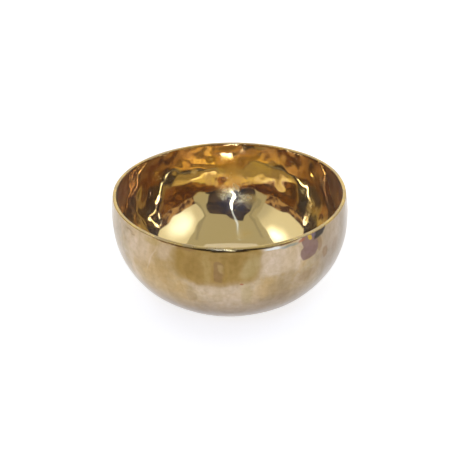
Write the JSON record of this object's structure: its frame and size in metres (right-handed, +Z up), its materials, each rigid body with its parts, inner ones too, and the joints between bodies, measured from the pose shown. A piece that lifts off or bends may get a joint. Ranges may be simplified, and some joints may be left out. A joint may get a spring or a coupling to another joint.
{
  "type": "offering bowl",
  "caption": "Round bronze offering bowl, raised by hand, with a turned-in shoulder, a thickened lip with a flat burnished top, and a flat base; open at the top.",
  "frame": {"origin": "centre of the flat base", "axes": "+Z up along the bowl's axis, from the base to the mouth; X and Y are free, the bowl is round"},
  "size_m": [0.16, 0.16, 0.0736],
  "materials": {
    "bronze": "polished"
  },
  "bodies": {
    "root": {"bowl": "bronze"}
  },
  "joints": []
}
